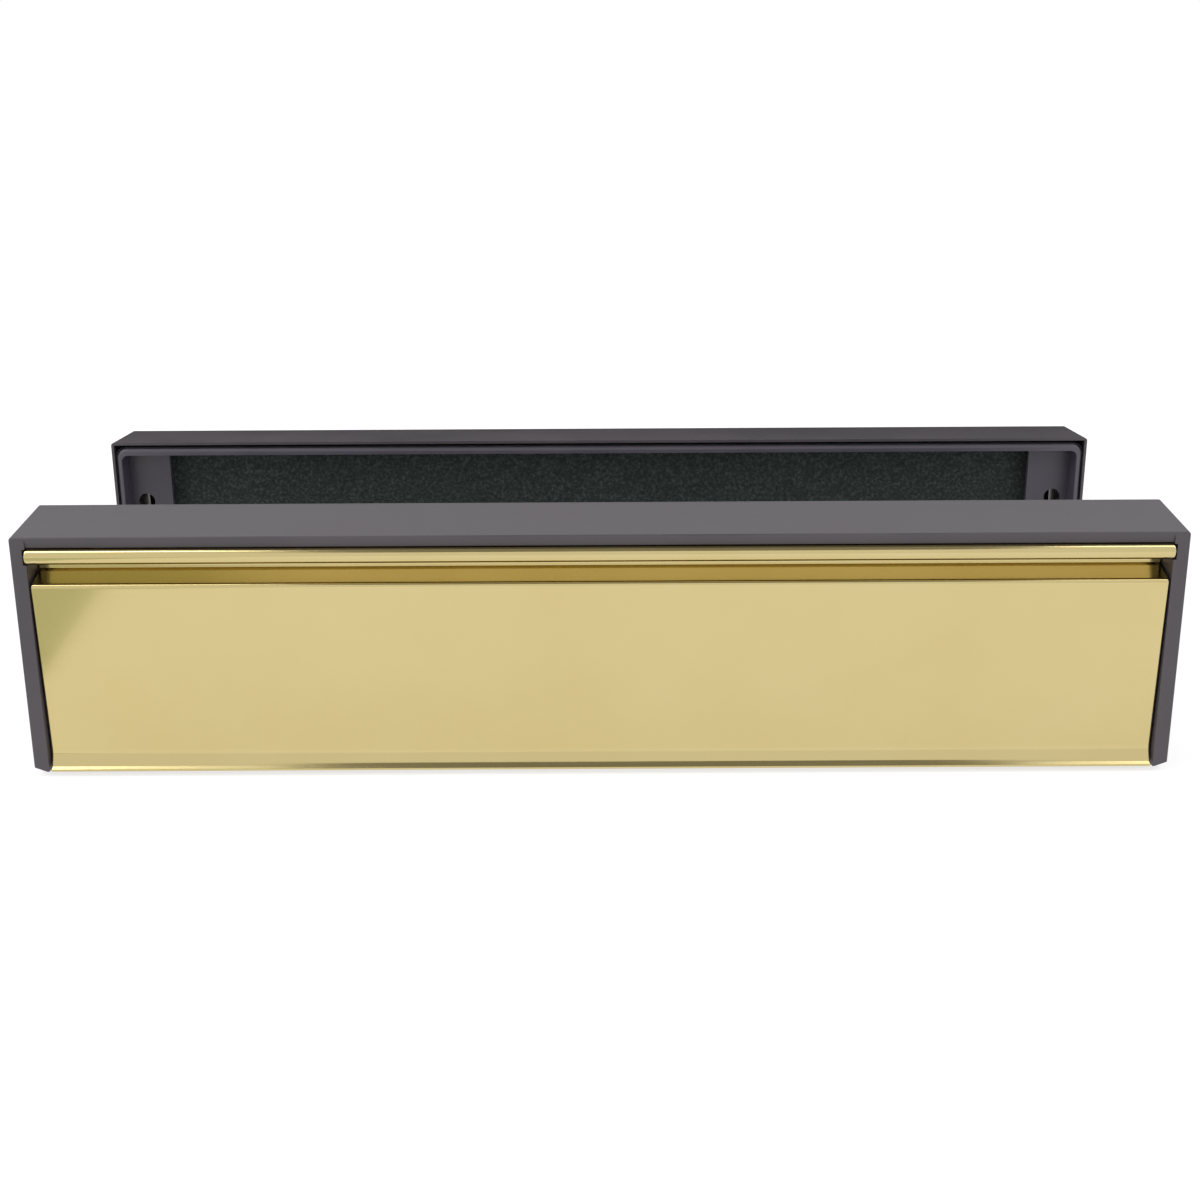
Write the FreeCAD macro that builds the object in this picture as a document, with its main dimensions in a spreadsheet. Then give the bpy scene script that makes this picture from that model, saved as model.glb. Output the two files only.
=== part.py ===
"""Through-door letterplate: two sprung-flap units, one for each face of a door.

Both units are the same drafted plastic surround with a full-width hinged flap.  Each is modelled in a
unit frame with X along the flap, Y from the unit's front face towards the door and Z up from its
mid-height, and is then placed.  The whole part stands on Z = 0 with the middle of the door gap at Y = 0.
"""
import FreeCAD, Part
import math
import os
import Sketcher

Vector = FreeCAD.Vector

DIMENSIONS = [
    ("unit_width", 306.0, "width of a unit"),
    ("unit_depth", 25.8, "front face to door face"),
    ("front_top", 32.65, "front top edge above mid-height"),
    ("front_bottom", 33.1, "front bottom edge below mid-height"),
    ("door_half_height", 34.5, "half height of a unit at its door face"),
    ("door_gap", 74.6, "space between the two units"),
    ("shell_wall", 0.8, "wall round the liner"),
    ("roof_wall", 1.3, "top wall behind the lip"),
    ("floor_wall", 1.5, "bottom wall behind the flap"),
    ("floor_setback", 4.8, "bottom wall starts this far behind the front"),
    ("lip_depth", 5.0, "depth of the lip over the bead"),
    ("lip_brow", 0.6, "upright top of the lip's front"),
    ("lip_lean", 0.8, "lip's front leans back by this at its bottom"),
    ("cheek_thickness", 4.0, "side cheek"),
    ("clip_width", 3.4, "slope on the bottom corners, across"),
    ("clip_height", 1.3, "slope on the bottom corners, up"),
    ("corner_radius", 0.9, "surround's top corners"),
    ("rim_radius", 0.5, "surround's front edges"),
    ("overrun", 1.0, "how far a cut runs past a face"),
    ("bead_radius", 2.15, "round bead that the flap turns on"),
    ("bead_depth", 1.2, "bead centre behind the front face"),
    ("bead_height", 27.3, "bead centre above mid-height"),
    ("bead_clearance", 0.3, "bead to the cheeks' recesses"),
    ("lip_clearance", 0.22, "bead to the underside of the lip"),
    ("bead_overhang", 0.7, "bead past the flap's side edge"),
    ("bead_end_gap", 0.5, "bead end to the surround"),
    ("flap_side_gap", 0.4, "flap edge to the cheek"),
    ("panel_thickness", 1.6, "flap panel"),
    ("web_thickness", 1.4, "walls of the channel under the bead"),
    ("channel_depth", 9.0, "depth of the channel under the bead"),
    ("nose_height", 19.7, "panel's top edge above mid-height"),
    ("ledge_rise", 2.0, "channel floor rises by this to its back"),
    ("channel_step", 1.0, "upright foot of the channel's back wall"),
    ("channel_undercut", 1.9, "channel's back wall leans forward by this above its foot"),
    ("channel_corner", 0.3, "rounding between the channel's floor and back wall"),
    ("ledge_drop", 1.05, "channel floor's underside below its top"),
    ("nose_radius", 1.2, "panel's top front edge"),
    ("bead_end_radius", 0.5, "rounding of the bead's ends"),
    ("panel_edge_radius", 0.5, "rounding of the panel's front side edges"),
    ("panel_lean", 2.2, "panel's bottom behind its top"),
    ("flare_height", 4.4, "curled finger edge, height"),
    ("flare_reach", 3.1, "curled finger edge, how far forward"),
    ("knee_height", 1.7, "finger edge's knee above its bottom"),
    ("knee_reach", 1.9, "finger edge's knee behind its tip"),
    ("flare_radius", 6.0, "curl of the finger edge above its knee"),
    ("knee_radius", 3.0, "curl of the finger edge at its knee"),
    ("flare_foot", 1.8, "finger edge, depth of its bottom face"),
    ("foot_radius", 0.4, "finger edge's tip"),
    ("pad_back", 12.6, "back of the foam pad behind the front"),
    ("pad_bottom", 27.5, "foam pad's bottom below mid-height"),
    ("pad_half_width", 139.5, "half width of the foam pad"),
    ("rod_radius", 0.65, "hinge rod"),
    ("rod_clearance", 0.05, "hinge rod in the bead, radial"),
    ("rod_grip", 1.2, "hinge rod into a cheek past the spring"),
    ("spring_pocket_radius", 1.06, "spring pocket in a cheek"),
    ("spring_pocket_depth", 2.0, "spring pocket past the bead recess"),
    ("spring_wire", 0.36, "spring wire diameter"),
    ("spring_radius", 0.85, "spring coil, to the wire's centre"),
    ("spring_pitch", 0.45, "spring coil pitch"),
    ("spring_turns", 3.0, "spring coils"),
    ("ring_half_width", 151.8, "half width of the liner"),
    ("ring_half_height", 32.7, "half height of the liner"),
    ("ring_radius", 3.5, "liner's corners"),
    ("ring_rim_radius", 1.4, "liner's rounded rim at the door"),
    ("tray_half_width", 150.1, "half width of the liner's recess"),
    ("tray_half_height", 30.4, "half height of the liner's recess"),
    ("tray_radius", 2.0, "corners of the liner's recess"),
    ("tray_depth", 8.0, "depth of the liner's recess"),
    ("tab_thickness", 2.0, "liner's end tabs"),
    ("mouth_half_width", 137.0, "half width of the mail opening"),
    ("fixing_half_pitch", 145.4, "fixing hole from the middle"),
    ("fixing_height", 13.5, "fixing holes above and below mid-height"),
    ("fixing_hole_radius", 2.6, "fixing hole"),
    ("boss_half_pitch", 143.6, "liner screw from the middle"),
    ("boss_half_height", 3.6, "liner screw boss"),
    ("boss_inner", 140.0, "boss and stop rib reach in to here"),
    ("boss_front", 9.0, "front of the liner screw boss"),
    ("pilot_radius", 1.25, "liner screw's pilot hole"),
    ("pilot_depth", 6.0, "pilot hole, depth"),
    ("liner_hole_radius", 1.6, "liner screw's hole in a tab"),
    ("screw_head_radius", 2.8, "liner screw's head"),
    ("head_rim", 0.05, "upright rim of the liner screw's head"),
    ("head_gap", 0.1, "liner screw's head to its countersink"),
    ("screw_length", 7.0, "liner screw"),
    ("rib_front", 5.8, "front of the stop rib"),
    ("rib_depth", 3.0, "stop rib"),
    ("rib_top", 22.0, "stop rib's top below mid-height"),
    ("buffer_thickness", 1.8, "rubber buffer on the stop rib"),
    ("buffer_half_width", 3.2, "rubber buffer"),
    ("buffer_middle", 144.2, "rubber buffer from the middle"),
    ("buffer_top", 22.6, "rubber buffer's top below mid-height"),
    ("buffer_bottom", 28.6, "rubber buffer's bottom below mid-height"),
    ("seal_thickness", 0.3, "sealing strip between shell and liner"),
    ("seal_front", 23.4, "front of the sealing strip"),
    ("seal_depth", 1.8, "sealing strip along the door axis"),
    ("sleeve_radius", 3.5, "sleeve nut"),
    ("sleeve_length", 50.0, "sleeve nut from its tab"),
    ("sleeve_end", 1.3, "closed end of the sleeve nut"),
    ("spigot_clearance", 0.05, "sleeve nut's spigot in its hole, radial"),
    ("bolt_radius", 2.0, "fixing bolt"),
    ("bolt_clearance", 0.05, "fixing bolt in the sleeve nut, radial"),
    ("bolt_length", 56.0, "fixing bolt under its head"),
    ("bolt_head_radius", 3.2, "fixing bolt's head"),
    ("bolt_head_height", 2.4, "fixing bolt's head"),
    ("slot_width", 0.9, "drive slot"),
    ("slot_depth", 1.0, "drive slot"),
]

CHEEK_DEPTH = "(Sizes.unit_depth - Sizes.tray_depth - Sizes.tab_thickness)"
CHEEK_INNER = "(Sizes.unit_width / 2 - Sizes.cheek_thickness)"
FLAP_HALF = "(Sizes.unit_width / 2 - Sizes.cheek_thickness - Sizes.flap_side_gap)"
BEAD_HALF = "(" + FLAP_HALF + " + Sizes.bead_overhang)"
RECESS_HALF = "(" + BEAD_HALF + " + Sizes.bead_end_gap)"
POCKET_HALF = "(" + RECESS_HALF + " + Sizes.spring_pocket_depth)"
ROD_HALF = "(" + POCKET_HALF + " + Sizes.rod_grip)"
BACK_WALL = "(Sizes.channel_depth + Sizes.web_thickness)"
FLARE_TOP = "(Sizes.flare_height - Sizes.front_bottom)"
FLARE_TIP = "(Sizes.panel_lean - Sizes.flare_reach)"
KNEE_FRONT = "(Sizes.panel_lean - Sizes.flare_reach + Sizes.knee_reach)"
KNEE_LEVEL = "(Sizes.knee_height - Sizes.front_bottom)"
LEDGE_UNDER = "(Sizes.nose_height - Sizes.ledge_drop)"
TAB_BACK = "(Sizes.unit_depth - Sizes.tray_depth)"

doc = FreeCAD.newDocument("letterplate")
sheet = doc.addObject("Spreadsheet::Sheet", "Sizes")
sub_parts = []


def fill_sheet():
    for row, (alias, value, meaning) in enumerate(DIMENSIONS, start=1):
        sheet.set("A%d" % row, meaning)
        sheet.set("B%d" % row, str(value))
        sheet.setAlias("B%d" % row, alias)
    doc.recompute()


def size(alias):
    return float(sheet.get(alias))


def roof_at(depth):
    """Height of the surround's top face at a depth behind the front face."""
    rise = "(Sizes.door_half_height - Sizes.front_top)"
    return "(Sizes.front_top + %s * %s / Sizes.unit_depth)" % (rise, depth)


def floor_at(depth):
    """Height of the surround's bottom face at a depth behind the front face."""
    drop = "(Sizes.door_half_height - Sizes.front_bottom)"
    return "(-Sizes.front_bottom - %s * %s / Sizes.unit_depth)" % (drop, depth)


# ---- document helpers

def new_body(label):
    body = doc.addObject("PartDesign::Body", label)
    body.Label = label
    body.AllowCompound = True
    sub_parts.append(body)
    return body


def new_sketch(body, name, role, offset=None):
    """A sketch on one of the body's own planes; offset shifts it along the plane's normal."""
    sketch = body.newObject("Sketcher::SketchObject", name)
    plane = next(item for item in body.Origin.OriginFeatures if item.Role == role)
    sketch.AttachmentSupport = [(plane, "")]
    sketch.MapMode = "FlatFace"
    if offset:
        sketch.setExpression("AttachmentOffset.Base.z", offset)
    return sketch


def side_sketch(body, name):
    """Sketch of a section across the flap: first axis Y, second axis Z."""
    return new_sketch(body, name, "YZ_Plane")


def front_sketch(body, name, depth):
    """Sketch seen from the front, at a depth behind the front face: first axis X, second axis Z."""
    return new_sketch(body, name, "XZ_Plane", "-" + depth)


def bind(sketch, kind, index, point, expression, start=1.0):
    """A driving dimension of a sketch, bound to the sheet; start is its value until it is solved."""
    if point is None:
        constraint = sketch.addConstraint(Sketcher.Constraint(kind, index, start))
    else:
        constraint = sketch.addConstraint(Sketcher.Constraint(kind, index, point, start))
    sketch.setExpression("Constraints[%d]" % constraint, expression)


def add_polygon(sketch, corners):
    """Closed outline; each corner is a pair of expressions for its place."""
    first = sketch.GeometryCount
    count = len(corners)
    angles = [2 * math.pi * i / count for i in range(count)]
    starts = [Vector(math.cos(angle), math.sin(angle), 0) for angle in angles]
    for i in range(count):
        sketch.addGeometry(Part.LineSegment(starts[i], starts[(i + 1) % count]), False)
    for i in range(count):
        following = first + (i + 1) % count
        sketch.addConstraint(Sketcher.Constraint("Coincident", first + i, 2, following, 1))
    for i, (across, up) in enumerate(corners):
        bind(sketch, "DistanceX", first + i, 1, across)
        bind(sketch, "DistanceY", first + i, 1, up)


def add_box(sketch, low_x, high_x, low_z, high_z):
    add_polygon(sketch, [(low_x, low_z), (high_x, low_z), (high_x, high_z), (low_x, high_z)])


def add_centred_box(sketch, half_x, half_z):
    add_box(sketch, "-" + half_x, half_x, "-" + half_z, half_z)


def add_rounded_box(sketch, half_x, half_z, radius, grow=None):
    """Centred box with round corners; the arguments are aliases, and grow is added to all three sizes."""
    extra = size(grow) if grow else 0.0
    more = " + Sizes." + grow if grow else ""
    r = size(radius) + extra
    x = size(half_x) + extra
    z = size(half_z) + extra
    first = sketch.GeometryCount
    turns = [(1, -1), (1, 1), (-1, 1), (-1, -1)]
    for number, (right, up) in enumerate(turns):
        middle = Vector(right * (x - r), up * (z - r), 0)
        start = (number - 1) * math.pi / 2
        arc = Part.ArcOfCircle(Part.Circle(middle, Vector(0, 0, 1), r), start, start + math.pi / 2)
        sketch.addGeometry(arc, False)
    for number in range(4):
        following = first + (number + 1) % 4
        begin = sketch.getPoint(first + number, 2)
        end = sketch.getPoint(following, 1)
        line = sketch.addGeometry(Part.LineSegment(begin, end), False)
        sketch.addConstraint(Sketcher.Constraint("Tangent", first + number, 2, line, 1))
        sketch.addConstraint(Sketcher.Constraint("Tangent", line, 2, following, 1))
        sketch.addConstraint(Sketcher.Constraint("Vertical" if number % 2 == 0 else "Horizontal", line))
        bind(sketch, "Radius", first + number, None, "Sizes." + radius + more, r)
        right, up = turns[number]
        if number % 2 == 0:
            bind(sketch, "DistanceX", line, 1, "%d * (Sizes.%s%s)" % (right, half_x, more), right * x)
        else:
            bind(sketch, "DistanceY", line, 1, "%d * (Sizes.%s%s)" % (up, half_z, more), up * z)


def add_circle(sketch, across, up, radius):
    index = sketch.GeometryCount
    sketch.addGeometry(Part.Circle(Vector(0, 0, 0), Vector(0, 0, 1), 1.0), False)
    bind(sketch, "Radius", index, None, radius)
    bind(sketch, "DistanceX", index, 3, across)
    bind(sketch, "DistanceY", index, 3, up)


def add_feature(body, kind, sketch, length, symmetric, towards_door):
    """A pad or pocket, checked to have added or removed material."""
    before = body.Shape.Volume if body.Tip else 0.0
    feature = body.newObject("PartDesign::" + kind, sketch.Name + "_" + kind.lower())
    feature.Profile = sketch
    feature.Type = "Length"
    if symmetric:
        feature.SideType = "Symmetric"
    # a pad grows along the sketch's normal and a pocket cuts against it
    feature.Reversed = towards_door == (kind == "Pad") and not symmetric
    feature.setExpression("Length", length)
    doc.recompute()
    change = feature.Shape.Volume - before
    if (kind == "Pad") != (change > 0):
        raise RuntimeError(feature.Name + " changed the volume the wrong way")
    return feature


def pad_across(body, sketch, length):
    return add_feature(body, "Pad", sketch, length, True, False)


def cut_across(body, sketch, length):
    return add_feature(body, "Pocket", sketch, length, True, False)


def pad_back(body, sketch, length):
    return add_feature(body, "Pad", sketch, length, False, True)


def pad_forward(body, sketch, length):
    return add_feature(body, "Pad", sketch, length, False, False)


def cut_back(body, sketch, length):
    return add_feature(body, "Pocket", sketch, length, False, True)


def cut_forward(body, sketch, length):
    return add_feature(body, "Pocket", sketch, length, False, False)


def edges_where(shape, test):
    """Names of the edges whose middle point passes the test."""
    names = []
    for number, edge in enumerate(shape.Edges, start=1):
        middle = edge.valueAt((edge.FirstParameter + edge.LastParameter) / 2)
        if test(edge, middle):
            names.append("Edge%d" % number)
    return names


def dress(body, kind, name, test, **expressions):
    """A fillet or chamfer on the edges that pass the test."""
    base = body.Tip
    names = edges_where(base.Shape, test)
    if not names:
        raise RuntimeError(name + " found no edge")
    feature = body.newObject("PartDesign::" + kind, name)
    feature.Base = (base, names)
    if "Size2" in expressions:
        feature.ChamferType = "Two distances"
    for field, expression in expressions.items():
        feature.setExpression(field, expression)
    doc.recompute()
    return feature


def near(value, target, slack=0.02):
    return abs(value - target) < slack


def section_edge(across, up):
    """Test for the long edges of an extrusion at one corner of its section."""
    def test(edge, middle):
        return near(middle.y, across) and near(middle.z, up) and edge.Length > size("unit_width") / 2
    return test


# ---- the pieces of one unit, in the unit frame

def make_surround(label):
    body = new_body(label)
    outline = side_sketch(body, "outline")
    add_polygon(outline, [
        ("0", "Sizes.front_top"),
        ("0", "-Sizes.front_bottom"),
        ("Sizes.unit_depth", "-Sizes.door_half_height"),
        ("Sizes.unit_depth", "Sizes.door_half_height"),
    ])
    pad_across(body, outline, "Sizes.unit_width")
    half_width = size("unit_width") / 2

    def bottom_corner(edge, middle):
        return near(abs(middle.x), half_width) and middle.z < -size("front_bottom")

    def top_corner(edge, middle):
        return near(abs(middle.x), half_width) and middle.z > size("front_top")

    def front_edge(edge, middle):
        at_side = near(abs(middle.x), half_width)
        return near(middle.y, 0) and (at_side or near(middle.z, size("front_top")))

    clip = dress(body, "Chamfer", "bottom_clip", bottom_corner,
                 Size="Sizes.clip_height", Size2="Sizes.clip_width")
    low = [v.Point.x for v in clip.Shape.Vertexes if near(v.Point.z, -size("front_bottom"))]
    if not near(max(low), half_width - size("clip_width")):
        clip.FlipDirection = True
        doc.recompute()
    dress(body, "Fillet", "top_corners", top_corner, Radius="Sizes.corner_radius")
    dress(body, "Fillet", "front_rim", front_edge, Radius="Sizes.rim_radius")

    liner_space = side_sketch(body, "liner_space")
    back = "(Sizes.unit_depth + Sizes.overrun)"
    add_polygon(liner_space, [
        (CHEEK_DEPTH, floor_at(CHEEK_DEPTH) + " + Sizes.shell_wall"),
        (back, floor_at(back) + " + Sizes.shell_wall"),
        (back, roof_at(back) + " - Sizes.shell_wall"),
        (CHEEK_DEPTH, roof_at(CHEEK_DEPTH) + " - Sizes.shell_wall"),
    ])
    cut_across(body, liner_space, "Sizes.unit_width - 2 * Sizes.shell_wall")

    flap_space = side_sketch(body, "flap_space")
    lip_under = "Sizes.bead_height + Sizes.bead_radius + Sizes.lip_clearance"
    lip_brow = "Sizes.front_top - Sizes.lip_brow"
    past_cheek = "(" + CHEEK_DEPTH + " + Sizes.overrun)"
    below = "-Sizes.door_half_height - Sizes.overrun"
    add_polygon(flap_space, [
        ("-Sizes.overrun", lip_brow),
        ("0", lip_brow),
        ("Sizes.lip_lean", lip_under),
        ("Sizes.lip_depth", lip_under),
        ("Sizes.lip_depth", roof_at("Sizes.lip_depth") + " - Sizes.roof_wall"),
        (past_cheek, roof_at(past_cheek) + " - Sizes.roof_wall"),
        (past_cheek, floor_at(past_cheek) + " + Sizes.floor_wall"),
        ("Sizes.floor_setback", floor_at("Sizes.floor_setback") + " + Sizes.floor_wall"),
        ("Sizes.floor_setback", below),
        ("-Sizes.overrun", below),
    ])
    cut_across(body, flap_space, "2 * " + CHEEK_INNER)

    hinge_cuts = [
        ("bead_recess", "Sizes.bead_radius + Sizes.bead_clearance", RECESS_HALF),
        ("spring_pocket", "Sizes.spring_pocket_radius", POCKET_HALF),
        ("rod_seat", "Sizes.rod_radius", ROD_HALF),
    ]
    for name, radius, half_length in hinge_cuts:
        sketch = side_sketch(body, name)
        add_circle(sketch, "Sizes.bead_depth", "Sizes.bead_height", radius)
        cut_across(body, sketch, "2 * " + half_length)

    into_cheek = "(" + CHEEK_INNER + " + Sizes.overrun)"
    bosses = front_sketch(body, "screw_bosses", "Sizes.boss_front")
    ribs = front_sketch(body, "stop_ribs", "Sizes.rib_front")
    rib_foot = "(" + floor_at("Sizes.rib_front") + " + Sizes.floor_wall / 2)"
    pilots = front_sketch(body, "pilot_holes", CHEEK_DEPTH)
    for left, right in (("-" + into_cheek, "-Sizes.boss_inner"), ("Sizes.boss_inner", into_cheek)):
        add_box(bosses, left, right, "-Sizes.boss_half_height", "Sizes.boss_half_height")
        add_box(ribs, left, right, rib_foot, "-Sizes.rib_top")
    for sign in ("-", ""):
        add_circle(pilots, sign + "Sizes.boss_half_pitch", "0", "Sizes.pilot_radius")
    pad_back(body, bosses, CHEEK_DEPTH + " - Sizes.boss_front")
    pad_back(body, ribs, "Sizes.rib_depth")
    cut_forward(body, pilots, "Sizes.pilot_depth")
    return body


def make_liner(label):
    body = new_body(label)
    block = front_sketch(body, "block", CHEEK_DEPTH)
    add_rounded_box(block, "ring_half_width", "ring_half_height", "ring_radius")
    pad_back(body, block, "Sizes.tray_depth + Sizes.tab_thickness")

    def door_rim(edge, middle):
        return near(middle.y, size("unit_depth"))

    dress(body, "Fillet", "ring_rim", door_rim, Radius="Sizes.ring_rim_radius")
    tray = front_sketch(body, "tray", "Sizes.unit_depth")
    add_rounded_box(tray, "tray_half_width", "tray_half_height", "tray_radius")
    cut_forward(body, tray, "Sizes.tray_depth")
    mouth = front_sketch(body, "mouth", "Sizes.unit_depth")
    add_centred_box(mouth, "Sizes.mouth_half_width", "Sizes.tray_half_height")
    through = "Sizes.tray_depth + Sizes.tab_thickness + Sizes.overrun"
    cut_forward(body, mouth, through)
    holes = front_sketch(body, "tab_holes", "Sizes.unit_depth")
    for side in ("-", ""):
        add_circle(holes, side + "Sizes.boss_half_pitch", "0", "Sizes.liner_hole_radius")
        for level in ("-", ""):
            add_circle(holes, side + "Sizes.fixing_half_pitch", level + "Sizes.fixing_height",
                       "Sizes.fixing_hole_radius")
    cut_forward(body, holes, through)

    def screw_mouth(edge, middle):
        return (near(middle.y, size("unit_depth") - size("tray_depth"))
                and near(edge.Length, 2 * math.pi * size("liner_hole_radius")))

    dress(body, "Chamfer", "countersinks", screw_mouth,
          Size="Sizes.screw_head_radius - Sizes.liner_hole_radius + Sizes.head_gap")
    return body


def make_flap(label):
    body = new_body(label)
    bead = side_sketch(body, "bead")
    add_circle(bead, "Sizes.bead_depth", "Sizes.bead_height", "Sizes.bead_radius")
    pad_across(body, bead, "2 * " + BEAD_HALF)
    section = side_sketch(body, "section")
    web_top = "Sizes.bead_height + Sizes.web_thickness / 2"
    web_under = "Sizes.bead_height - Sizes.web_thickness / 2"
    ledge_back = "Sizes.nose_height + Sizes.ledge_rise"
    add_polygon(section, [
        ("0", "Sizes.nose_height"),
        ("Sizes.channel_depth", ledge_back),
        ("Sizes.channel_depth", ledge_back + " + Sizes.channel_step"),
        ("Sizes.channel_depth - Sizes.channel_undercut", web_under),
        ("Sizes.bead_depth", web_under),
        ("Sizes.bead_depth", web_top),
        (BACK_WALL, web_top),
        (BACK_WALL, ledge_back + " - Sizes.ledge_drop"),
        ("Sizes.panel_thickness", LEDGE_UNDER),
        ("Sizes.panel_lean + Sizes.panel_thickness", FLARE_TOP),
        (KNEE_FRONT + " + Sizes.flare_foot", KNEE_LEVEL),
        (FLARE_TIP + " + Sizes.flare_foot", "-Sizes.front_bottom"),
        (FLARE_TIP, "-Sizes.front_bottom"),
        (KNEE_FRONT, KNEE_LEVEL),
        ("Sizes.panel_lean", FLARE_TOP),
    ])
    pad_across(body, section, "2 * " + FLAP_HALF)
    bore = side_sketch(body, "bore")
    add_circle(bore, "Sizes.bead_depth", "Sizes.bead_height", "Sizes.rod_radius + Sizes.rod_clearance")
    cut_across(body, bore, "Sizes.unit_width")
    lean = size("panel_lean")
    thickness = size("panel_thickness")
    flare_top = size("flare_height") - size("front_bottom")
    tip = lean - size("flare_reach")
    knee = tip + size("knee_reach")
    knee_level = size("knee_height") - size("front_bottom")
    roundings = [
        ("nose", 0, size("nose_height"), "Sizes.nose_radius"),
        ("curl_front", lean, flare_top, "Sizes.flare_radius"),
        ("curl_back", lean + thickness, flare_top, "Sizes.flare_radius + Sizes.panel_thickness"),
        ("knee_front", knee, knee_level, "Sizes.knee_radius"),
        ("knee_back", knee + size("flare_foot"), knee_level, "Sizes.knee_radius + Sizes.panel_thickness"),
        ("foot_edge", tip, -size("front_bottom"), "Sizes.foot_radius"),
    ]
    for name, across, up, radius in roundings:
        dress(body, "Fillet", name, section_edge(across, up), Radius=radius)

    def bead_end(edge, middle):
        return near(edge.Length, 2 * math.pi * size("bead_radius"))

    def panel_side(edge, middle):
        at_side = near(abs(middle.x), size("unit_width") / 2 - size("cheek_thickness") - size("flap_side_gap"))
        return at_side and middle.y < size("panel_thickness") and edge.Length > size("nose_height") * 2

    dress(body, "Fillet", "bead_ends", bead_end, Radius="Sizes.bead_end_radius")
    dress(body, "Fillet", "panel_sides", panel_side, Radius="Sizes.panel_edge_radius")
    channel_back = section_edge(size("channel_depth"), size("nose_height") + size("ledge_rise"))
    dress(body, "Fillet", "channel_corner", channel_back, Radius="Sizes.channel_corner")
    return body


def make_foam_pad(label):
    """Foam block on the flap's back: it fills the space under the channel and covers its back wall."""
    body = new_body(label)
    section = side_sketch(body, "section")
    web_top = "Sizes.bead_height + Sizes.web_thickness / 2"
    ledge_back_under = "Sizes.nose_height + Sizes.ledge_rise - Sizes.ledge_drop"
    fraction = "(%s + Sizes.pad_bottom) / (%s - %s)" % (LEDGE_UNDER, LEDGE_UNDER, FLARE_TOP)
    add_polygon(section, [
        (BACK_WALL, web_top),
        ("Sizes.pad_back", web_top),
        ("Sizes.pad_back", "-Sizes.pad_bottom"),
        ("Sizes.panel_thickness + Sizes.panel_lean * " + fraction, "-Sizes.pad_bottom"),
        ("Sizes.panel_thickness", LEDGE_UNDER),
        (BACK_WALL, ledge_back_under),
    ])
    pad_across(body, section, "2 * Sizes.pad_half_width")
    return body


def make_hinge_rod(label):
    body = new_body(label)
    section = side_sketch(body, "section")
    add_circle(section, "Sizes.bead_depth", "Sizes.bead_height", "Sizes.rod_radius")
    pad_across(body, section, "2 * " + ROD_HALF)
    return body


def make_door_seal(label):
    """Thin rubber strip that lies in the gap between the surround's wall and the liner."""
    body = new_body(label)
    strip = front_sketch(body, "strip", "Sizes.seal_front")
    add_rounded_box(strip, "ring_half_width", "ring_half_height", "ring_radius", "seal_thickness")
    add_rounded_box(strip, "ring_half_width", "ring_half_height", "ring_radius")
    pad_back(body, strip, "Sizes.seal_depth")
    return body


def make_stop_buffers(label):
    body = new_body(label)
    section = front_sketch(body, "section", "Sizes.rib_front")
    inner = "(Sizes.buffer_middle - Sizes.buffer_half_width)"
    outer = "(Sizes.buffer_middle + Sizes.buffer_half_width)"
    for left, right in (("-" + outer, "-" + inner), (inner, outer)):
        add_box(section, left, right, "-Sizes.buffer_bottom", "-Sizes.buffer_top")
    pad_forward(body, section, "Sizes.buffer_thickness")
    return body


def make_liner_screws(label):
    """Countersunk self-tapping screws that hold the liner to the surround's bosses."""
    body = new_body(label)
    shanks = front_sketch(body, "shanks", TAB_BACK)
    heads = front_sketch(body, "heads", TAB_BACK)
    slots = front_sketch(body, "slots", TAB_BACK)
    for side in ("-", ""):
        middle = side + "Sizes.boss_half_pitch"
        add_circle(shanks, middle, "0", "Sizes.pilot_radius")
        add_circle(heads, middle, "0", "Sizes.screw_head_radius")
        add_box(slots, middle + " - Sizes.screw_head_radius", middle + " + Sizes.screw_head_radius",
                "-Sizes.slot_width / 2", "Sizes.slot_width / 2")
    pad_forward(body, shanks, "Sizes.screw_length")
    cone = "Sizes.screw_head_radius - Sizes.pilot_radius"
    pad_forward(body, heads, cone)
    cone_foot = size("unit_depth") - size("tray_depth") - size("screw_head_radius") + size("pilot_radius")

    def cone_edge(edge, middle):
        return near(middle.y, cone_foot) and near(edge.Length, 2 * math.pi * size("screw_head_radius"))

    dress(body, "Chamfer", "cone", cone_edge, Size=cone + " - Sizes.head_rim")
    cut_forward(body, slots, "Sizes.slot_depth")
    return body


def make_sleeve_nuts(label):
    """Long blind nuts riveted into the lower fixing holes; they pass through the door."""
    body = new_body(label)
    barrels = front_sketch(body, "barrels", TAB_BACK)
    spigots = front_sketch(body, "spigots", TAB_BACK)
    bores = front_sketch(body, "bores", "(" + TAB_BACK + " + Sizes.sleeve_length)")
    for side in ("-", ""):
        place = (side + "Sizes.fixing_half_pitch", "-Sizes.fixing_height")
        add_circle(barrels, place[0], place[1], "Sizes.sleeve_radius")
        add_circle(spigots, place[0], place[1], "Sizes.fixing_hole_radius - Sizes.spigot_clearance")
        add_circle(bores, place[0], place[1], "Sizes.bolt_radius + Sizes.bolt_clearance")
    pad_back(body, barrels, "Sizes.sleeve_length")
    pad_forward(body, spigots, "Sizes.tab_thickness")
    cut_forward(body, bores, "Sizes.sleeve_length - Sizes.sleeve_end")
    return body


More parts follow.
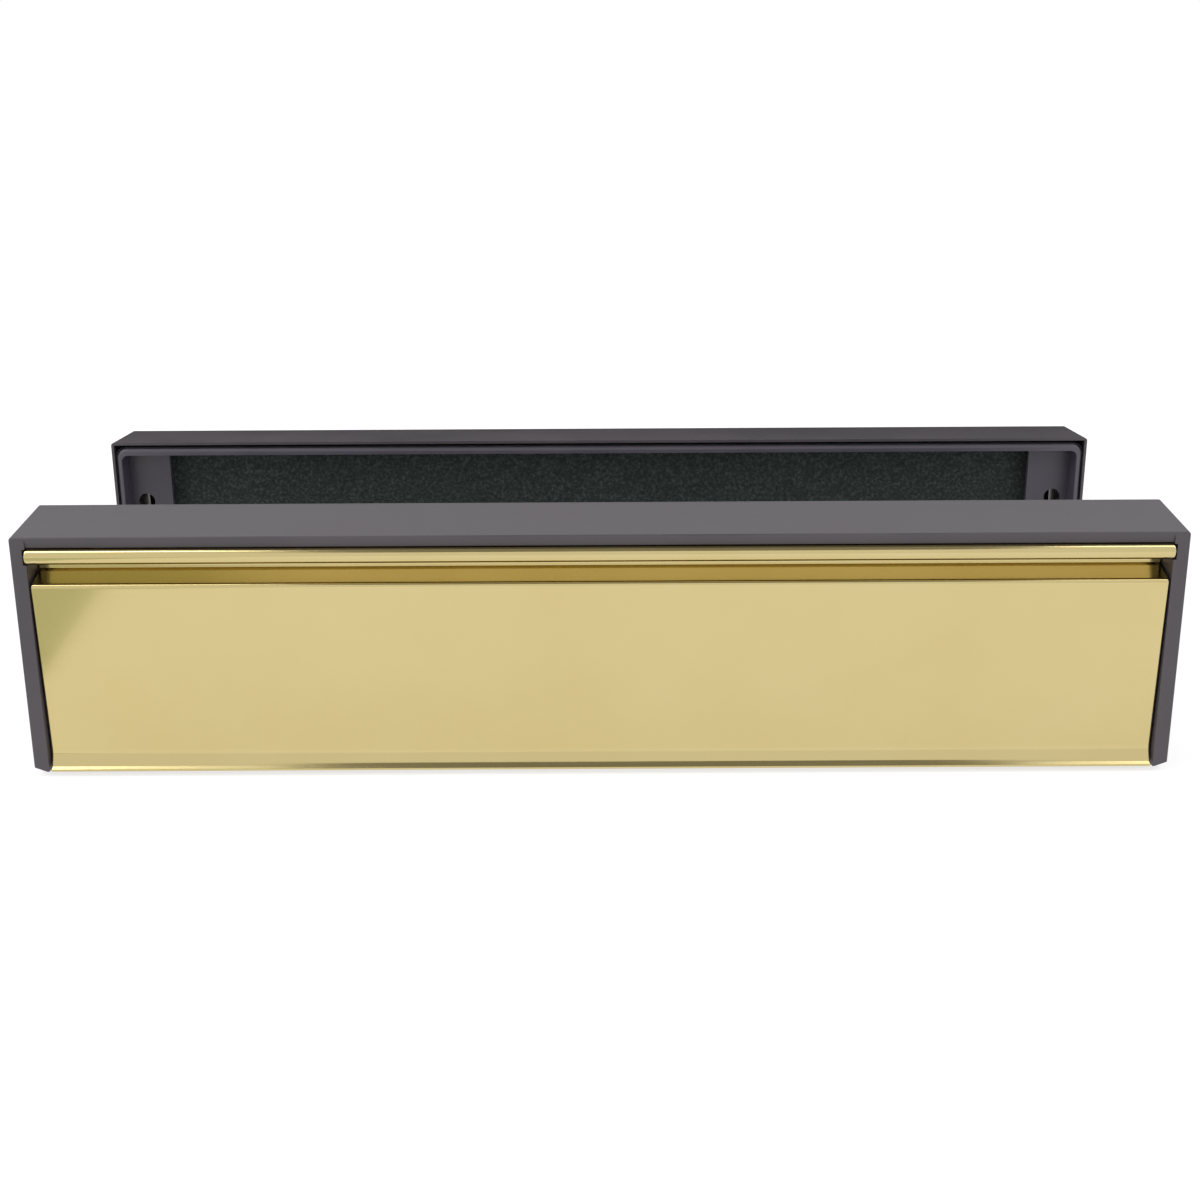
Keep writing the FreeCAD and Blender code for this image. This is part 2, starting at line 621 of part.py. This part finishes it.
def make_fixing_bolts(label):
    """Pan-head bolts from the flap side of the inner unit's lower holes into the sleeve nuts."""
    body = new_body(label)
    shanks = front_sketch(body, "shanks", CHEEK_DEPTH)
    heads = front_sketch(body, "heads", CHEEK_DEPTH)
    slots = front_sketch(body, "slots", "(" + CHEEK_DEPTH + " - Sizes.bolt_head_height)")
    for side in ("-", ""):
        place = (side + "Sizes.fixing_half_pitch", "-Sizes.fixing_height")
        add_circle(shanks, place[0], place[1], "Sizes.bolt_radius")
        add_circle(heads, place[0], place[1], "Sizes.bolt_head_radius")
        add_box(slots, place[0] + " - Sizes.bolt_head_radius", place[0] + " + Sizes.bolt_head_radius",
                "-Sizes.fixing_height - Sizes.slot_width / 2", "-Sizes.fixing_height + Sizes.slot_width / 2")
    pad_back(body, shanks, "Sizes.bolt_length")
    pad_forward(body, heads, "Sizes.bolt_head_height")

    def head_edge(edge, middle):
        front = size("unit_depth") - size("tray_depth") - size("tab_thickness") - size("bolt_head_height")
        return near(middle.y, front)

    dress(body, "Fillet", "head_edges", head_edge, Radius="Sizes.bolt_head_height / 3")
    cut_back(body, slots, "Sizes.slot_depth")
    return body


def make_spring(label, side):
    """Torsion spring round one end of the hinge rod; side is -1 at the left and 1 at the right."""
    pitch = size("spring_pitch")
    length = pitch * size("spring_turns")
    recess_end = size("unit_width") / 2 - size("cheek_thickness") - size("flap_side_gap")
    recess_end += size("bead_overhang") + size("bead_end_gap")
    slack = size("spring_pocket_depth") - length
    first_coil = Vector(side * (recess_end + slack / 2), size("bead_depth"), size("bead_height"))
    coil = Part.makeHelix(pitch, length, size("spring_radius"))
    wire_start = Vector(size("spring_radius"), 0, 0)
    section = Part.Circle(wire_start, Vector(0, 1, 0), size("spring_wire") / 2).toShape()
    for shape in (coil, section):
        shape.rotate(Vector(0, 0, 0), Vector(0, 1, 0), 90 * side)
        shape.translate(first_coil)
    shape = Part.Wire(coil.Edges).makePipeShell([Part.Wire([section])], True, True)
    spring = doc.addObject("Part::Feature", label)
    spring.Label = label
    spring.Shape = shape
    sub_parts.append(spring)
    return spring


def make_unit(prefix):
    return [
        make_surround(prefix + "_surround"),
        make_liner(prefix + "_liner"),
        make_flap(prefix + "_flap"),
        make_foam_pad(prefix + "_foam_pad"),
        make_hinge_rod(prefix + "_hinge_rod"),
        make_spring(prefix + "_left_spring", -1),
        make_spring(prefix + "_right_spring", 1),
        make_door_seal(prefix + "_door_seal"),
        make_stop_buffers(prefix + "_stop_buffers"),
        make_liner_screws(prefix + "_liner_screws"),
    ]


def place_unit(pieces, turn, facing):
    """Stand a unit at its side of the door gap; facing is 1 for the outer unit and -1 for the inner."""
    front = -facing * (size("unit_depth") + size("door_gap") / 2)
    base = Vector(0, front, size("door_half_height"))
    for piece in pieces:
        piece.Placement = FreeCAD.Placement(base, FreeCAD.Rotation(Vector(0, 0, 1), turn))
        sign = "-" if facing > 0 else ""
        piece.setExpression("Placement.Base.y", sign + "(Sizes.unit_depth + Sizes.door_gap / 2)")
        piece.setExpression("Placement.Base.z", "Sizes.door_half_height")


def check_document():
    for item in doc.Objects:
        if "Invalid" in item.State or "Error" in item.State:
            raise RuntimeError(item.Name + " is " + ", ".join(item.State))
    for piece in sub_parts:
        if piece.Shape.isNull() or not piece.Shape.isValid() or not piece.Shape.Solids:
            raise RuntimeError(piece.Label + " has no valid solid")


def write_parts():
    os.makedirs("parts", exist_ok=True)
    for piece in sub_parts:
        piece.Shape.exportStep(os.path.join("parts", piece.Label + ".step"))
        box = piece.Shape.BoundBox
        print("%-22s solids %d  volume %9.1f  x %8.2f %8.2f  y %8.2f %8.2f  z %6.2f %6.2f" % (
            piece.Label, len(piece.Shape.Solids), piece.Shape.Volume,
            box.XMin, box.XMax, box.YMin, box.YMax, box.ZMin, box.ZMax))


def main():
    fill_sheet()
    outer = make_unit("outer")
    outer.append(make_sleeve_nuts("sleeve_nuts"))
    inner = make_unit("inner")
    inner.append(make_fixing_bolts("fixing_bolts"))
    place_unit(outer, 0, 1)
    place_unit(inner, 180, -1)
    doc.recompute()
    check_document()
    write_parts()


main()
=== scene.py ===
"""The looks of a through-door letterplate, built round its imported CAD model.

Two identical units face away from each other across the space that a door fills.  The outer unit is at
the front of the picture.  Every length is in metres in the CAD frame.
"""
import math

import bmesh
import bpy
from mathutils import Matrix, Vector, noise


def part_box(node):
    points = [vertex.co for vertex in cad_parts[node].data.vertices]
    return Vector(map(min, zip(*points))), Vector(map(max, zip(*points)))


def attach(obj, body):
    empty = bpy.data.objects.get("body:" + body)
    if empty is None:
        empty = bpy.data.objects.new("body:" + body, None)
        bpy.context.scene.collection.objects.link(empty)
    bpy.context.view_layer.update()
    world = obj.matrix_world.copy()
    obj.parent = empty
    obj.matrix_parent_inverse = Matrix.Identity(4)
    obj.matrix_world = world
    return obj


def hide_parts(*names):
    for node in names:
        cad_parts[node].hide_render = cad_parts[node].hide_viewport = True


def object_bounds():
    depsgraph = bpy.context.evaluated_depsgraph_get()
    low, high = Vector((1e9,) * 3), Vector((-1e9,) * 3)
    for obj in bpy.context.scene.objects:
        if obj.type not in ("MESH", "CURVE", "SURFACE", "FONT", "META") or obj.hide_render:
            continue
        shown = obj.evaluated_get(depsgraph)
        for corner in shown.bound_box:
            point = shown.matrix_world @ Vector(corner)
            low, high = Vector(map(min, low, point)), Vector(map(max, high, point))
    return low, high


MM = 0.001
WHITE = (1.0, 1.0, 1.0, 1.0)

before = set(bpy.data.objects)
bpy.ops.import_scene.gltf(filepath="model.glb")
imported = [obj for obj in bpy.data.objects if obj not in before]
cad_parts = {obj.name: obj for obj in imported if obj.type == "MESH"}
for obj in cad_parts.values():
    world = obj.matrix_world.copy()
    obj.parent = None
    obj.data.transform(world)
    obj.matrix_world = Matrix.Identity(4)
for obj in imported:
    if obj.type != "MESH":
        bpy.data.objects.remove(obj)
cad_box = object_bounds()


# ---- camera, floor and light

CAMERA_DISTANCE = 0.4285  # in front of the outer unit
CAMERA_HEIGHT = 0.1561  # above mid-height
CAMERA_FALL = 18.23  # degrees below level
CAMERA_ROLL = -0.30  # degrees
CAMERA_LENS = 51.75

FLOOR_REACH = 4.0
FLOOR_GREY = (0.35, 0.35, 0.35, 1.0)
FLOOR_GLOW = 0.72
CARD_GREY = (0.24, 0.24, 0.22, 1.0)
CARD_BLACK = (0.05, 0.05, 0.05, 1.0)
CARD_GREEN = (0.60, 0.64, 0.51, 1.0)
OVERHEAD_LEVEL = 0.85
SOFTBOX_SIDE = 0.62  # from the middle
SOFTBOX_LEVEL = 0.80
SOFTBOX_WIDTH = 0.35
SOFTBOX_LENGTH = 0.8
LEFT_BRIGHTNESS = 3.4
RIGHT_BRIGHTNESS = 1.7


def make_camera():
    """Low in front of the outer unit and a little above it, looking slightly down."""
    low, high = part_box("outer_surround")
    camera = bpy.data.objects.new("camera", bpy.data.cameras.new("camera"))
    bpy.context.scene.collection.objects.link(camera)
    camera.location = (0, low.y - CAMERA_DISTANCE, (low.z + high.z) / 2 + CAMERA_HEIGHT)
    pitch = math.radians(90 - CAMERA_FALL)
    roll = math.radians(CAMERA_ROLL)
    camera.matrix_world = (Matrix.Translation(camera.location) @ Matrix.Rotation(pitch, 4, "X")
                           @ Matrix.Rotation(roll, 4, "Z"))
    camera.data.sensor_width = 36.0
    camera.data.lens = CAMERA_LENS
    camera.data.clip_start = 0.01
    camera.data.clip_end = 50.0
    bpy.context.scene.camera = camera


def make_card(name, corners, colour, seen=False):
    """A flat stage card; unless seen, it only shows in reflections."""
    mesh = bpy.data.meshes.new(name)
    mesh.from_pydata(corners, [], [tuple(range(len(corners)))])
    card = bpy.data.objects.new(name, mesh)
    bpy.context.scene.collection.objects.link(card)
    material = bpy.data.materials.new(name)
    material.use_nodes = True
    shader = material.node_tree.nodes["Principled BSDF"]
    shader.inputs["Base Color"].default_value = colour
    shader.inputs["Roughness"].default_value = 0.9
    mesh.materials.append(material)
    card.visible_camera = seen
    return card


def make_softbox(name, place, target, width, height, brightness):
    """A soft square light; brightness is the radiance of its face."""
    light = bpy.data.lights.new(name, "AREA")
    light.shape = "RECTANGLE"
    light.size = width
    light.size_y = height
    light.energy = brightness * math.pi * width * height
    softbox = bpy.data.objects.new(name, light)
    bpy.context.scene.collection.objects.link(softbox)
    softbox.location = place
    softbox.rotation_euler = (Vector(target) - Vector(place)).to_track_quat("-Z", "Y").to_euler()
    return softbox


def level_card(name, left, right, near, far, height, colour, seen=False):
    """A card that lies level, between two places along X and two along Y."""
    corners = [(left, near, height), (right, near, height), (right, far, height), (left, far, height)]
    return make_card(name, corners, colour, seen)


def make_world():
    world = bpy.data.worlds.new("studio")
    world.use_nodes = True
    background = world.node_tree.nodes["Background"]
    background.inputs["Color"].default_value = WHITE
    background.inputs["Strength"].default_value = 1.0
    bpy.context.scene.world = world


def make_floor():
    """A pale floor that glows a little, so that the object leaves almost no shadow on it."""
    level = cad_box[0].z
    floor = level_card("floor", -FLOOR_REACH, FLOOR_REACH, -FLOOR_REACH, FLOOR_REACH, level, FLOOR_GREY,
                       seen=True)
    shader = floor.active_material.node_tree.nodes["Principled BSDF"]
    shader.inputs["Emission Color"].default_value = WHITE
    shader.inputs["Emission Strength"].default_value = FLOOR_GLOW


def make_reflection_cards():
    """Cards that only show in the object: overhead, behind the inner unit, and on the floor at the left."""
    low, high = cad_box
    front = low.y
    level_card("overhead_flag", -0.24, 0.33, front - 0.75, front + 0.25, OVERHEAD_LEVEL, CARD_GREY)
    behind = high.y + 0.08
    bottom = low.z + 0.03
    top = low.z + 0.125
    make_card("back_flag", [(-0.25, behind, bottom), (0.25, behind, bottom),
                            (0.25, behind, top), (-0.25, behind, top)], CARD_BLACK)
    level = low.z + 1 * MM
    near = front - 0.60
    far = front - 0.05
    floor_card = make_card("left_floor_card", [(-0.60, near, level), (-0.172, near, level),
                                               (-0.169, far, level), (-0.60, far, level)], CARD_GREEN)
    floor_card.visible_diffuse = False
    floor_card.visible_shadow = False


def make_lights():
    """Two soft boxes above and to the sides; the left one is the stronger."""
    low = cad_box[0]
    target = (0, low.y, low.z)
    depth = low.y - 0.15
    make_softbox("left_softbox", (-SOFTBOX_SIDE, depth, SOFTBOX_LEVEL), target,
                 SOFTBOX_WIDTH, SOFTBOX_LENGTH, LEFT_BRIGHTNESS)
    make_softbox("right_softbox", (SOFTBOX_SIDE, depth, SOFTBOX_LEVEL), target,
                 SOFTBOX_WIDTH, SOFTBOX_LENGTH, RIGHT_BRIGHTNESS)


# ---- materials

def new_material(name):
    """A material with nodes, and its node tree."""
    material = bpy.data.materials.new(name)
    material.use_nodes = True
    return material, material.node_tree


def add_node(tree, kind, **values):
    """A shader node; values are its sockets by name, with _ for a space, or its properties."""
    node = tree.nodes.new(kind)
    for key, value in values.items():
        socket = key.replace("_", " ")
        if socket in node.inputs:
            node.inputs[socket].default_value = value
        else:
            setattr(node, key, value)
    return node


def object_noise(tree, scale, detail=4.0, stretch=None):
    """Noise over the piece; scale is in features per metre, stretch its axes' multipliers."""
    source = add_node(tree, "ShaderNodeTexCoord")
    texture = add_node(tree, "ShaderNodeTexNoise", Scale=scale, Detail=detail, Roughness=0.6)
    place = source.outputs["Object"]
    if stretch:
        mapping = add_node(tree, "ShaderNodeMapping", Scale=stretch)
        tree.links.new(place, mapping.inputs["Vector"])
        place = mapping.outputs["Vector"]
    tree.links.new(place, texture.inputs["Vector"])
    return texture.outputs["Fac"]


def blend_colours(tree, factor, stops):
    """A colour ramp over a factor; stops are (position, linear colour)."""
    ramp = add_node(tree, "ShaderNodeValToRGB")
    elements = ramp.color_ramp.elements
    while len(elements) < len(stops):
        elements.new(1.0)
    for element, (position, colour) in zip(elements, stops):
        element.position = position
        element.color = (*colour, 1.0)
    tree.links.new(factor, ramp.inputs["Fac"])
    return ramp.outputs["Color"]


def spread(tree, factor, low, high):
    """Maps a noise's middle range to low..high."""
    node = add_node(tree, "ShaderNodeMapRange")
    node.inputs["From Min"].default_value = 0.3
    node.inputs["From Max"].default_value = 0.7
    node.inputs["To Min"].default_value = low
    node.inputs["To Max"].default_value = high
    tree.links.new(factor, node.inputs["Value"])
    return node.outputs["Result"]


def add_bump(tree, height, strength, depth, under=None):
    bump = add_node(tree, "ShaderNodeBump", Strength=strength, Distance=depth)
    tree.links.new(height, bump.inputs["Height"])
    if under:
        tree.links.new(under, bump.inputs["Normal"])
    return bump.outputs["Normal"]


def moulded_plastic(name, dark, light, gloss, grain_depth):
    """Textured moulding: a fine grain, and a slow drift of colour and gloss."""
    material, tree = new_material(name)
    shader = tree.nodes["Principled BSDF"]
    drift = object_noise(tree, 28.0)
    grain = object_noise(tree, 2600.0, detail=2.0)
    tree.links.new(blend_colours(tree, drift, [(0.35, dark), (0.65, light)]), shader.inputs["Base Color"])
    tree.links.new(spread(tree, drift, gloss - 0.04, gloss + 0.05), shader.inputs["Roughness"])
    tree.links.new(add_bump(tree, grain, 0.5, grain_depth), shader.inputs["Normal"])
    shader.inputs["Specular IOR Level"].default_value = 0.5
    return material


def gold_metal():
    """Bright gold anodised extrusion with faint blotches, and die lines along its length."""
    material, tree = new_material("gold_anodised")
    shader = tree.nodes["Principled BSDF"]
    shader.inputs["Metallic"].default_value = 1.0
    blotches = object_noise(tree, 22.0, detail=3.0)
    lines = object_noise(tree, 1500.0, detail=2.0, stretch=(0.02, 1.0, 1.0))
    gold = blend_colours(tree, blotches, [(0.35, (0.586, 0.482, 0.228)), (0.65, (0.604, 0.503, 0.247))])
    tree.links.new(gold, shader.inputs["Base Color"])
    tree.links.new(spread(tree, lines, 0.11, 0.16), shader.inputs["Roughness"])
    tree.links.new(add_bump(tree, lines, 0.12, 0.02 * MM), shader.inputs["Normal"])
    return material


def foam_material():
    """Open-cell foam: near black with a green cast, mottled by its cells; the colour is darkest in the pits
    of the cell bump, which is painted shade in the pores.
    """
    material, tree = new_material("cell_foam")
    shader = tree.nodes["Principled BSDF"]
    cells = object_noise(tree, 1100.0, detail=3.0)
    patches = object_noise(tree, 90.0)
    # painted shade: this ramp follows the same cell noise as the bump below, so the pits of the pores come
    # out darkest
    fine = blend_colours(tree, cells, [(0.30, (0.0075, 0.0115, 0.0105)), (0.50, (0.022, 0.032, 0.029)),
                                       (0.72, (0.062, 0.080, 0.075))])
    mix = add_node(tree, "ShaderNodeMix", data_type="RGBA", blend_type="MULTIPLY")
    mix.inputs["Factor"].default_value = 0.6
    tree.links.new(fine, mix.inputs["A"])
    tree.links.new(blend_colours(tree, patches, [(0.3, (0.7, 0.7, 0.7)), (0.7, (1.0, 1.0, 1.0))]),
                   mix.inputs["B"])
    tree.links.new(mix.outputs["Result"], shader.inputs["Base Color"])
    tree.links.new(spread(tree, cells, 0.85, 0.98), shader.inputs["Roughness"])
    tree.links.new(add_bump(tree, cells, 0.9, 0.3 * MM), shader.inputs["Normal"])
    shader.inputs["Specular IOR Level"].default_value = 0.25
    shader.inputs["Sheen Weight"].default_value = 0.15
    shader.inputs["Sheen Roughness"].default_value = 0.6
    return material


def plain_metal(name, dark, light, gloss):
    """Drawn or plated steel: streaked roughness and slightly uneven colour."""
    material, tree = new_material(name)
    shader = tree.nodes["Principled BSDF"]
    shader.inputs["Metallic"].default_value = 1.0
    clouds = object_noise(tree, 300.0)
    streaks = object_noise(tree, 3000.0, detail=2.0, stretch=(0.05, 0.05, 1.0))
    tree.links.new(blend_colours(tree, clouds, [(0.35, dark), (0.65, light)]), shader.inputs["Base Color"])
    tree.links.new(spread(tree, streaks, gloss - 0.06, gloss + 0.06), shader.inputs["Roughness"])
    tree.links.new(add_bump(tree, streaks, 0.2, 0.02 * MM), shader.inputs["Normal"])
    return material


def rubber_material():
    material, tree = new_material("black_rubber")
    shader = tree.nodes["Principled BSDF"]
    dust = object_noise(tree, 700.0)
    tree.links.new(blend_colours(tree, dust, [(0.4, (0.008, 0.008, 0.009)), (0.75, (0.022, 0.021, 0.022))]),
                   shader.inputs["Base Color"])
    tree.links.new(spread(tree, dust, 0.6, 0.8), shader.inputs["Roughness"])
    tree.links.new(add_bump(tree, dust, 0.4, 0.05 * MM), shader.inputs["Normal"])
    return material


def dress_node(node, material):
    """Gives a CAD node its material."""
    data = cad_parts[node].data
    data.materials.clear()
    data.materials.append(material)


# ---- pieces built here

# sizes and places in a unit's own frame, in millimetres
PAD_HALF_WIDTH = 139.5
PAD_BACK = 12.6
PAD_TOP = 28.0
PAD_BOTTOM = -27.5
TAB_FRONT = 15.8
TAB_BACK = 17.8
SEAL_HALF_WIDTH = 151.95
SEAL_HALF_HEIGHT = 32.85
SEAL_CORNER = 3.6
FIXING_HALF_PITCH = 145.4
FIXING_HEIGHT = 13.5
LINER_SCREW_HALF_PITCH = 143.6
BOLT_HEAD_HEIGHT = 2.4
BOLT_RADIUS = 2.0
BOLT_THREAD = (2.6, 57.6)  # start and end under the face
PILOT_RADIUS = 1.25
SCREW_THREAD = (1.7, 6.2)  # start and end under the face

# how finely the pieces are drawn
SCREW_SEGMENTS = 48
CORNER_TURNS = 4


def unit_frame(unit):
    """From a unit's own frame (along the flap, back from its front, up from mid-height) to the world."""
    low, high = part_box(unit + "_surround")
    middle = (low.z + high.z) / 2
    if unit == "outer":
        return lambda across, back, up: Vector((across, low.y + back, middle + up))
    return lambda across, back, up: Vector((-across, high.y - back, middle + up))


def skin_rings(rings, closed=False):
    """Vertices and faces of a skin over rings of points, capped at both ends unless it closes on itself."""
    count = len(rings[0])
    vertices = [point for ring in rings for point in ring]
    faces = []
    for first in range(len(rings) if closed else len(rings) - 1):
        second = (first + 1) % len(rings)
        for here in range(count):
            there = (here + 1) % count
            faces.append((first * count + here, first * count + there,
                          second * count + there, second * count + here))
    if not closed:
        last = (len(rings) - 1) * count
        faces.append(tuple(range(count)))
        faces.append(tuple(range(last, last + count)))
    return vertices, faces


def make_piece(name, node, shells, material, body):
    """A mesh piece that stands for a CAD node; its closed shells are pairs of vertices and faces."""
    vertices = []
    faces = []
    for shell_vertices, shell_faces in shells:
        base = len(vertices)
        vertices.extend(shell_vertices)
        faces.extend(tuple(base + corner for corner in face) for face in shell_faces)
    mesh = bpy.data.meshes.new(name)
    mesh.from_pydata(vertices, [], faces)
    shape = bmesh.new()
    shape.from_mesh(mesh)
    bmesh.ops.recalc_face_normals(shape, faces=shape.faces)
    shape.to_mesh(mesh)
    shape.free()
    mesh.polygons.foreach_set("use_smooth", [True] * len(mesh.polygons))
    mesh.set_sharp_from_angle(angle=math.radians(50))
    mesh.materials.append(material)
    piece = bpy.data.objects.new(name, mesh)
    bpy.context.scene.collection.objects.link(piece)
    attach(piece, body)
    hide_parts(node)
    return piece


def rounded_outline(corners, radius, step):
    """Evenly spaced points round a closed outline whose corners are rounded."""
    points = []
    count = len(corners)
    for number, corner in enumerate(corners):
        before = (corners[number - 1] - corner).normalized() * radius
        after = (corners[(number + 1) % count] - corner).normalized() * radius
        for turn in range(CORNER_TURNS + 1):
            share = turn / CORNER_TURNS
            points.append(corner + before * (1 - share) ** 2 + after * share ** 2)
        following = corners[(number + 1) % count]
        end = following + (corner - following).normalized() * radius
        run = end - points[-1]
        parts = max(1, round(run.length / step))
        start = points[-1]
        points.extend(start + run * index / parts for index in range(1, parts))
    return points


def outline_normals(points):
    """Outward directions at the points of an outline that runs anticlockwise."""
    normals = []
    for number, point in enumerate(points):
        along = points[(number + 1) % len(points)] - points[number - 1]
        normals.append(Vector((along.y, -along.x)).normalized())
    return normals


def end_stations(half_width, edge, step):
    """Places along the flap, evenly spaced but closer together at the rounded ends."""
    ends = [edge * share for share in (0.0, 0.1, 0.3, 0.6)]
    length = 2 * half_width - 2 * edge
    inner = round(length / step)
    stations = [-half_width + end for end in ends]
    stations += [-half_width + edge + length * index / inner for index in range(inner + 1)]
    stations += [half_width - end for end in reversed(ends)]
    return stations


def foam_lift(spot):
    """How far the foam's surface stands out: its cells, slow waves, and a crown across its height."""
    cells = noise.noise(spot / (1.1 * MM)) * 0.16 * MM
    waves = noise.noise(spot / (19 * MM) + Vector((7, 0, 3))) * 0.30 * MM
    crown = 0.35 * MM * max(0.0, 1 - (spot.z / (27.6 * MM)) ** 2)
    return cells + waves + crown


def make_foam_pad(unit):
    """The flap's foam block: soft rounded edges, a slight crown and an open-cell surface."""
    place = unit_frame(unit)
    half_width = PAD_HALF_WIDTH * MM
    edge = 1.5 * MM
    step = 0.9 * MM
    glued_depth = 4 * MM
    section = [(1.9, 18.3), (3.6, PAD_BOTTOM), (PAD_BACK, PAD_BOTTOM), (PAD_BACK, PAD_TOP),
               (10.5, PAD_TOP), (10.5, 20.3)]
    outline = rounded_outline([Vector(corner) * MM for corner in section], edge * 0.6, step)
    normals = outline_normals(outline)
    rings = []
    for across in end_stations(half_width, edge, step):
        from_end = min(edge, half_width - abs(across))
        inset = edge - math.sqrt(edge ** 2 - (edge - from_end) ** 2)
        ring = []
        for point, normal in zip(outline, normals):
            lift = -inset
            if point.x > glued_depth:
                lift += foam_lift(Vector((across, point.x, point.y)))
            ring.append(place(across, point.x + normal.x * lift, point.y + normal.y * lift))
        rings.append(ring)
    pad = make_piece(unit + "_foam_block", unit + "_foam_pad", [skin_rings(rings)], FOAM,
                     unit + "_flap")


def make_door_seal(unit):
    """Thin sealing strip, pressed unevenly into the gap between the surround's wall and the liner."""
    place = unit_frame(unit)
    corners = [(-SEAL_HALF_WIDTH, -SEAL_HALF_HEIGHT), (SEAL_HALF_WIDTH, -SEAL_HALF_HEIGHT),
               (SEAL_HALF_WIDTH, SEAL_HALF_HEIGHT), (-SEAL_HALF_WIDTH, SEAL_HALF_HEIGHT)]
    loop = rounded_outline([Vector(corner) * MM for corner in corners], SEAL_CORNER * MM, 1.0 * MM)
    normals = outline_normals(loop)
    half = 0.15
    section = [(-half, 23.4), (-half, 24.2), (-half, 25.1), (0.0, 25.25),
               (half, 25.1), (half, 24.2), (half, 23.4)]
    rings = []
    for point, normal in zip(loop, normals):
        ring = []
        for out, back in section:
            spot = Vector((point.x, point.y, back * MM)) / (3.0 * MM)
            side = (out + 0.10 * noise.noise(spot)) * MM
            depth = (back + 0.35 * noise.noise(spot + Vector((5, 9, 1)))) * MM
            ring.append(place(point.x + normal.x * side, depth, point.y + normal.y * side))
        rings.append(ring)
    make_piece(unit + "_seal_strip", unit + "_door_seal", [skin_rings(rings, closed=True)], RUBBER,
               unit + "_unit")


def cross_depth(across, up, reach, half_slot, depth):
    """How deep a cross recess is at a place on a screw's face."""
    long_way = max(abs(across), abs(up))
    short_way = min(abs(across), abs(up))
    if long_way > reach or short_way > half_slot:
        return 0.0
    return depth * (1 - 0.45 * long_way / reach)


def screw_shell(profile, thread, recess, transform):
    """A turned screw: profile is (distance under the face, radius) pairs, the face's centre first.

    thread is (pitch, depth, start, end) and recess is (reach, half slot, depth, lowest face distance).
    """
    pitch, thread_depth, start, end = thread
    reach, half_slot, recess_depth, face_end = recess
    rings = []
    for under, radius in profile:
        ring = []
        for number in range(SCREW_SEGMENTS):
            angle = 2 * math.pi * number / SCREW_SEGMENTS
            width = radius
            if start <= under <= end:
                phase = (under / pitch - number / SCREW_SEGMENTS) % 1.0
                width -= thread_depth * (1 - abs(2 * phase - 1))
            across = width * math.cos(angle)
            up = width * math.sin(angle)
            dip = cross_depth(across, up, reach, half_slot, recess_depth) if under <= face_end else 0.0
            ring.append(transform(across, under + dip, up))
        rings.append(ring)
    return skin_rings(rings)


def threaded_run(start, end, step, radius):
    count = round((end - start) / step)
    return [(start + (end - start) * index / count, radius) for index in range(count + 1)]


def make_fixing_bolts():
    """Pan-head bolts with a cross recess and a full thread, in the inner unit's lower holes."""
    place = unit_frame("inner")
    face = TAB_FRONT - BOLT_HEAD_HEIGHT
    start, end = BOLT_THREAD
    radii = [0.05 + 0.15 * index for index in range(14)] + [2.4, 2.7]
    profile = [(0.25 * (radius / 3.0) ** 2, radius) for radius in radii]
    profile += [(0.35, 2.95), (0.65, 3.12), (1.1, 3.2)]
    profile += [(BOLT_HEAD_HEIGHT, 3.2), (BOLT_HEAD_HEIGHT, BOLT_RADIUS)]
    profile += threaded_run(start, end, 0.14, BOLT_RADIUS) + [(58.4, 1.4)]
    thread = (0.7, 0.32, start, end)
    recess = (1.75, 0.38, 1.3, 0.3)
    shells = []
    for side in (-1, 1):
        def transform(across, under, up, middle=side * FIXING_HALF_PITCH):
            return place((middle + across) * MM, (face + under) * MM, (up - FIXING_HEIGHT) * MM)
        shells.append(screw_shell(profile, thread, recess, transform))
    make_piece("threaded_bolts", "fixing_bolts", shells, ZINC, "inner_unit")


def make_liner_screws(unit):
    """Countersunk cross-recess screws, level with the liner's tabs and driven from the door side."""
    place = unit_frame(unit)
    start, end = SCREW_THREAD
    radii = [0.05 + 0.15 * index for index in range(13)] + [2.2, 2.5, 2.75]
    profile = [(0.0, radius) for radius in radii]
    profile += [(0.08, 2.78), (1.55, PILOT_RADIUS)]
    profile += threaded_run(start, end, 0.18, PILOT_RADIUS) + [(7.0, 0.3)]
    thread = (1.1, 0.25, start, end)
    recess = (1.6, 0.36, 1.1, 0.01)
    shells = []
    for side in (-1, 1):
        def transform(across, under, up, middle=side * LINER_SCREW_HALF_PITCH):
            return place((middle + across) * MM, (TAB_BACK - under) * MM, up * MM)
        shells.append(screw_shell(profile, thread, recess, transform))
    make_piece(unit + "_countersunk_screws", unit + "_liner_screws", shells, ZINC, unit + "_unit")


make_camera()
make_world()
make_floor()
make_reflection_cards()
make_lights()

SURROUND = moulded_plastic("surround_plastic", (0.056, 0.048, 0.058), (0.067, 0.057, 0.067),
                           gloss=0.42, grain_depth=0.04 * MM)
LINER = moulded_plastic("liner_plastic", (0.066, 0.058, 0.078), (0.080, 0.070, 0.092),
                        gloss=0.34, grain_depth=0.02 * MM)
GOLD = gold_metal()
FOAM = foam_material()
STEEL = plain_metal("drawn_steel", (0.42, 0.42, 0.43), (0.55, 0.55, 0.56), 0.32)
ZINC = plain_metal("zinc_plate", (0.50, 0.51, 0.52), (0.66, 0.66, 0.64), 0.38)
RUBBER = rubber_material()

for unit in ("outer", "inner"):
    dress_node(unit + "_surround", SURROUND)
    dress_node(unit + "_liner", LINER)
    dress_node(unit + "_flap", GOLD)
    dress_node(unit + "_hinge_rod", STEEL)
    dress_node(unit + "_left_spring", STEEL)
    dress_node(unit + "_right_spring", STEEL)
    dress_node(unit + "_stop_buffers", RUBBER)
    make_foam_pad(unit)
    make_door_seal(unit)
    make_liner_screws(unit)
dress_node("sleeve_nuts", ZINC)
make_fixing_bolts()

bpy.context.scene.view_settings.view_transform = "Standard"
